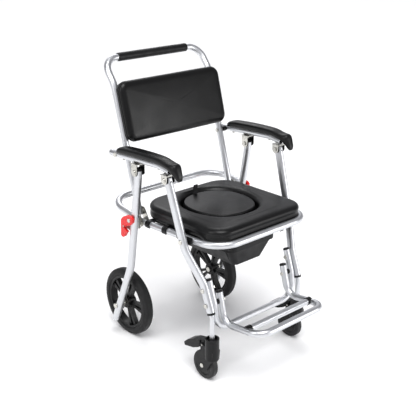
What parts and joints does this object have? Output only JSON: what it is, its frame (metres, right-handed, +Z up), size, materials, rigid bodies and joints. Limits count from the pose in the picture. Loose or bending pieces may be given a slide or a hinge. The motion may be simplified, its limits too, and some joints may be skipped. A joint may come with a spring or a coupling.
{
  "type": "folding commode wheelchair",
  "caption": "Folding commode chair on rear wheels and swivel casters, with lift-out seat lid, slide-out pan, flip-up footrest and padded armrests.",
  "frame": {"origin": "on the floor, under the middle of the chair's footprint", "axes": "+Z up, -Y the way the sitter faces, +X to the sitter's left"},
  "size_m": [0.526, 0.706, 0.951],
  "materials": {
    "silver_tube": "silver anodised tube, soft satin shine",
    "steel_hardware": "zinc-plated steel bolts and brackets",
    "black_plastic": "moulded black plastic with a fine grain",
    "black_rubber": "dark grey polyurethane roller",
    "tyre_rubber": "solid black rubber tyre, slightly grey",
    "armrest_foam": "self-skinned black foam with a leather grain",
    "red_plastic": "red moulded plastic",
    "seat_cover": "black leatherette with a fine pebble grain",
    "strap_webbing": "black webbing pull tab",
    "grip_foam": "black closed-cell foam sleeve",
    "bucket_plastic": "black polypropylene pan"
  },
  "bodies": {
    "front_frame": {"front_leg_left": "silver_tube", "front_leg_right": "silver_tube", "leg_caps": "black_plastic", "leg_stems": "silver_tube", "footrest_support": "silver_tube", "support_caps": "black_plastic", "frame_bolts": "steel_hardware"},
    "seat_frame": {"seat_tube": "silver_tube", "seat_saddles": "black_plastic", "seat_brackets": "steel_hardware", "seat_bolts": "steel_hardware", "seat_board": "black_plastic", "seat_pad": "seat_cover", "seat_clips": "black_plastic", "bucket_rails": "black_plastic"},
    "seat_lid": {"lid_board": "black_plastic", "lid_pad": "seat_cover", "lid_strap": "strap_webbing"},
    "bucket_body": {"bucket": "bucket_plastic"},
    "backrest": {"back_tube": "silver_tube", "push_grip": "grip_foam", "back_board": "black_plastic", "back_pad": "seat_cover", "back_screws": "steel_hardware", "back_hinge_bolts": "steel_hardware"},
    "rear_frame": {"rear_leg_left": "silver_tube", "rear_leg_right": "silver_tube", "rear_leg_caps": "black_plastic", "rear_brace": "silver_tube", "rear_bolts": "steel_hardware", "latch_brackets": "steel_hardware"},
    "footrest": {"footrest_tube": "silver_tube", "footrest_bar": "silver_tube", "footrest_saddles": "black_plastic"},
    "armrest_left": {"arm_tube_left": "silver_tube", "arm_pad_left": "armrest_foam", "arm_metal_left": "steel_hardware", "arm_liners_left": "black_plastic"},
    "latch_left": {"latch_lever_left": "red_plastic", "latch_shaft_left": "steel_hardware"},
    "rear_wheel_left": {"rear_tyre_left": "tyre_rubber", "rear_rim_left": "black_plastic", "rear_spokes_left": "black_plastic"},
    "caster_left": {"caster_hood_left": "black_plastic", "caster_pins_left": "steel_hardware"},
    "brake_left": {"brake_pedal_left": "black_plastic"},
    "roller_left": {"caster_wheel_left": "black_rubber"},
    "armrest_right": {"arm_tube_right": "silver_tube", "arm_pad_right": "armrest_foam", "arm_metal_right": "steel_hardware", "arm_liners_right": "black_plastic"},
    "latch_right": {"latch_lever_right": "red_plastic", "latch_shaft_right": "steel_hardware"},
    "rear_wheel_right": {"rear_tyre_right": "tyre_rubber", "rear_rim_right": "black_plastic", "rear_spokes_right": "black_plastic"},
    "caster_right": {"caster_hood_right": "black_plastic", "caster_pins_right": "steel_hardware"},
    "brake_right": {"brake_pedal_right": "black_plastic"},
    "roller_right": {"caster_wheel_right": "black_rubber"}
  },
  "joints": [
    {"name": "fold", "type": "hinge", "parent": "front_frame", "child": "seat_frame", "pos_m": [0, -0.094, 0.452], "axis": [1, 0, 0], "range_deg": [0, 45]},
    {"name": "backrest_fold", "type": "hinge", "parent": "seat_frame", "child": "backrest", "pos_m": [0, 0.151, 0.475], "axis": [1, 0, 0], "range_deg": [-45.5, 0.5]},
    {"name": "rear_frame_fold", "type": "hinge", "parent": "armrest_left", "child": "rear_frame", "pos_m": [0.238, 0.103, 0.626], "axis": [1, 0, 0], "range_deg": [-57, 0.5]},
    {"name": "lid_lift", "type": "slide", "parent": "seat_frame", "child": "seat_lid", "axis": [0, 0, 1], "range_m": [0, 0.12]},
    {"name": "bucket_slide", "type": "slide", "parent": "seat_frame", "child": "bucket_body", "axis": [0, -1, 0], "range_m": [-0.28, 0]},
    {"name": "footrest_flip", "type": "hinge", "parent": "front_frame", "child": "footrest", "pos_m": [0, -0.169, 0.256], "axis": [1, 0, 0], "range_deg": [-90, 0]},
    {"name": "armrest_left_fold", "type": "hinge", "parent": "front_frame", "child": "armrest_left", "pos_m": [0.238, -0.04, 0.636], "axis": [1, 0, 0], "range_deg": [-0.5, 45.5]},
    {"name": "rear_wheel_left_spin", "type": "hinge", "parent": "rear_frame", "child": "rear_wheel_left", "pos_m": [0.195, 0.235, 0.118], "axis": [1, 0, 0], "continuous": true},
    {"name": "latch_left_release", "type": "hinge", "parent": "rear_frame", "child": "latch_left", "pos_m": [0.256, 0.13, 0.462], "axis": [1, 0, 0], "range_deg": [0, 35]},
    {"name": "caster_left_swivel", "type": "hinge", "parent": "front_frame", "child": "caster_left", "pos_m": [0.195, -0.186, 0.12], "axis": [0, 0, 1], "continuous": true},
    {"name": "roller_left_spin", "type": "hinge", "parent": "caster_left", "child": "roller_left", "pos_m": [0.195, -0.157, 0.0475], "axis": [1, 0, 0], "continuous": true},
    {"name": "brake_left_press", "type": "hinge", "parent": "caster_left", "child": "brake_left", "pos_m": [0.195, -0.156, 0.119], "axis": [1, 0, 0], "range_deg": [-12, 0]},
    {"name": "armrest_right_fold", "type": "hinge", "parent": "front_frame", "child": "armrest_right", "pos_m": [-0.238, -0.04, 0.636], "axis": [1, 0, 0], "range_deg": [-0.5, 45.5]},
    {"name": "rear_wheel_right_spin", "type": "hinge", "parent": "rear_frame", "child": "rear_wheel_right", "pos_m": [-0.195, 0.235, 0.118], "axis": [1, 0, 0], "continuous": true},
    {"name": "latch_right_release", "type": "hinge", "parent": "rear_frame", "child": "latch_right", "pos_m": [-0.256, 0.13, 0.462], "axis": [1, 0, 0], "range_deg": [0, 35]},
    {"name": "caster_right_swivel", "type": "hinge", "parent": "front_frame", "child": "caster_right", "pos_m": [-0.195, -0.186, 0.12], "axis": [0, 0, 1], "continuous": true},
    {"name": "roller_right_spin", "type": "hinge", "parent": "caster_right", "child": "roller_right", "pos_m": [-0.195, -0.157, 0.0475], "axis": [1, 0, 0], "continuous": true},
    {"name": "brake_right_press", "type": "hinge", "parent": "caster_right", "child": "brake_right", "pos_m": [-0.195, -0.156, 0.119], "axis": [1, 0, 0], "range_deg": [-12, 0]}
  ],
  "couplings": [
    {"joint": "backrest_fold", "follows": "fold", "ratio": -1},
    {"joint": "armrest_left_fold", "follows": "fold", "ratio": 1},
    {"joint": "armrest_right_fold", "follows": "fold", "ratio": 1},
    {"joint": "rear_frame_fold", "follows": "fold", "ratio": -1.25}
  ]
}
